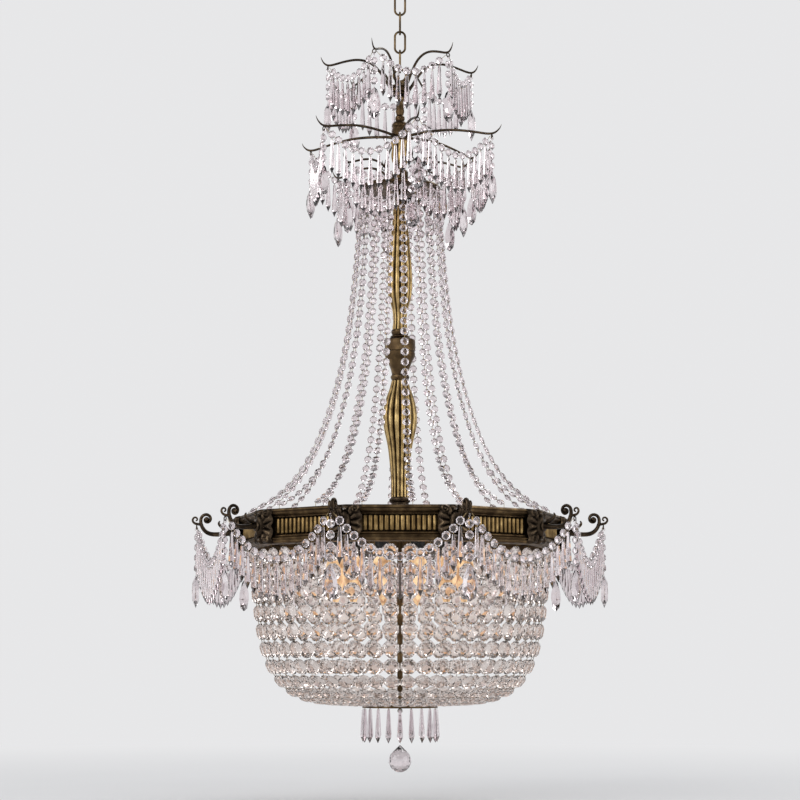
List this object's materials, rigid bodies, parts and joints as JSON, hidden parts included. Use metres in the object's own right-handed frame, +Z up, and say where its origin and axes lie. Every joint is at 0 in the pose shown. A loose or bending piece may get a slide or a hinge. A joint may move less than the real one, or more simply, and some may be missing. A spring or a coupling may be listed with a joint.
{
  "type": "crystal chandelier",
  "caption": "Tall basket chandelier with crystal strands, a ten-sided band, scroll arms and tiers of hanging drops, hung on a chain.",
  "frame": {"origin": "on the ceiling, at the middle of the canopy and its two-screw bracket", "axes": "+Z up along the column, the front faces -Y, +X to the right"},
  "size_m": [0.7584, 0.7232, 1.5302],
  "materials": {
    "antique_brass": "antique, burnished on the raised parts",
    "dark_bronze": "dark patina, satin",
    "steel": "zinc plated",
    "pin_wire": "drawn wire",
    "socket_black": "moulded, satin",
    "lamp_glass": "clear, lit warm",
    "crystal": "cut and polished"
  },
  "bodies": {
    "ceiling_fitting": {"ceiling_bracket": "steel", "bracket_nut": "steel", "canopy": "antique_brass", "canopy_nut": "antique_brass", "canopy_loop": "antique_brass"},
    "link_1": {"chain_link_1": "antique_brass"},
    "link_2": {"chain_link_2": "antique_brass"},
    "link_3": {"chain_link_3": "antique_brass"},
    "link_4": {"chain_link_4": "antique_brass"},
    "link_5": {"chain_link_5": "antique_brass"},
    "light": {"crown_loop": "antique_brass", "centre_tube": "steel", "crown_hub": "antique_brass", "crown_fronds": "antique_brass", "crown_spacer": "antique_brass", "middle_hub": "antique_brass", "middle_fronds": "antique_brass", "leaf_cup": "antique_brass", "strand_plate": "antique_brass", "lower_fronds": "antique_brass", "column_sleeve": "antique_brass", "upper_vase": "antique_brass", "column_collar": "antique_brass", "lower_baluster": "antique_brass", "column_base": "dark_bronze", "column_nuts": "steel", "band_upper_rim": "antique_brass", "band_lower_rim": "antique_brass", "band_panels": "antique_brass", "corner_bosses": "antique_brass", "scroll_arms": "antique_brass", "rim_screws": "steel", "lamp_spider": "dark_bronze", "lamp_sockets": "socket_black", "socket_nuts": "steel", "bulbs": "lamp_glass", "basket_ring": "antique_brass", "crown_beads": "crystal", "crown_prisms": "crystal", "crown_drops": "crystal", "strand_beads": "crystal", "arm_beads": "crystal", "arm_prisms": "crystal", "basket_beads": "crystal", "ring_prisms": "crystal", "crown_pins": "pin_wire", "arm_pins": "pin_wire", "basket_pins": "pin_wire"},
    "drop_1": {"arm_drop_1": "crystal"},
    "drop_2": {"arm_drop_2": "crystal"},
    "drop_3": {"arm_drop_3": "crystal"},
    "drop_4": {"arm_drop_4": "crystal"},
    "drop_5": {"arm_drop_5": "crystal"},
    "drop_6": {"arm_drop_6": "crystal"},
    "drop_7": {"arm_drop_7": "crystal"},
    "drop_8": {"arm_drop_8": "crystal"},
    "drop_9": {"arm_drop_9": "crystal"},
    "drop_10": {"arm_drop_10": "crystal"},
    "ball_strand": {"ball_strand": "crystal"},
    "ball": {"ball": "crystal"}
  },
  "joints": [
    {"name": "link_1_swing", "type": "hinge", "parent": "ceiling_fitting", "child": "link_1", "pos_m": [0, 0, -0.0606], "axis": [1, 0, 0], "range_deg": [-15, 15]},
    {"name": "link_2_swing", "type": "hinge", "parent": "link_1", "child": "link_2", "pos_m": [0, 0, -0.0968], "axis": [0, 1, 0], "range_deg": [-15, 15]},
    {"name": "link_3_swing", "type": "hinge", "parent": "link_2", "child": "link_3", "pos_m": [0, 0, -0.1335], "axis": [1, 0, 0], "range_deg": [-15, 15]},
    {"name": "link_4_swing", "type": "hinge", "parent": "link_3", "child": "link_4", "pos_m": [0, 0, -0.1702], "axis": [0, 1, 0], "range_deg": [-15, 15]},
    {"name": "link_5_swing", "type": "hinge", "parent": "link_4", "child": "link_5", "pos_m": [0, 0, -0.2069], "axis": [1, 0, 0], "range_deg": [-15, 15]},
    {"name": "light_swing", "type": "hinge", "parent": "link_5", "child": "light", "pos_m": [0, 0, -0.2436], "axis": [0, 1, 0], "range_deg": [-15, 15]},
    {"name": "drop_1_swing", "type": "hinge", "parent": "light", "child": "drop_1", "pos_m": [0.11372, -0.34999, -1.0974], "axis": [0.9511, 0.309, 0], "range_deg": [-15, 15]},
    {"name": "drop_2_swing", "type": "hinge", "parent": "light", "child": "drop_2", "pos_m": [0.29772, -0.2163, -1.0974], "axis": [0.5878, 0.809, 0], "range_deg": [-15, 15]},
    {"name": "drop_3_swing", "type": "hinge", "parent": "light", "child": "drop_3", "pos_m": [0.368, 0, -1.0974], "axis": [0, 1, 0], "range_deg": [-15, 15]},
    {"name": "drop_4_swing", "type": "hinge", "parent": "light", "child": "drop_4", "pos_m": [0.29772, 0.2163, -1.0974], "axis": [-0.5878, 0.809, 0], "range_deg": [-15, 15]},
    {"name": "drop_5_swing", "type": "hinge", "parent": "light", "child": "drop_5", "pos_m": [0.11372, 0.34999, -1.0974], "axis": [-0.9511, 0.309, 0], "range_deg": [-15, 15]},
    {"name": "drop_6_swing", "type": "hinge", "parent": "light", "child": "drop_6", "pos_m": [-0.11372, 0.34999, -1.0974], "axis": [-0.9511, -0.309, 0], "range_deg": [-15, 15]},
    {"name": "drop_7_swing", "type": "hinge", "parent": "light", "child": "drop_7", "pos_m": [-0.29772, 0.2163, -1.0974], "axis": [-0.5878, -0.809, 0], "range_deg": [-15, 15]},
    {"name": "drop_8_swing", "type": "hinge", "parent": "light", "child": "drop_8", "pos_m": [-0.368, 0, -1.0974], "axis": [0, -1, 0], "range_deg": [-15, 15]},
    {"name": "drop_9_swing", "type": "hinge", "parent": "light", "child": "drop_9", "pos_m": [-0.29772, -0.2163, -1.0974], "axis": [0.5878, -0.809, 0], "range_deg": [-15, 15]},
    {"name": "drop_10_swing", "type": "hinge", "parent": "light", "child": "drop_10", "pos_m": [-0.11372, -0.34999, -1.0974], "axis": [0.9511, -0.309, 0], "range_deg": [-15, 15]},
    {"name": "ball_strand_swing", "type": "hinge", "parent": "light", "child": "ball_strand", "pos_m": [0, 0, -1.4254], "axis": [1, 0, 0], "range_deg": [-15, 15]},
    {"name": "ball_swing", "type": "hinge", "parent": "ball_strand", "child": "ball", "pos_m": [0, 0, -1.47495], "axis": [0, 1, 0], "range_deg": [-15, 15]}
  ]
}
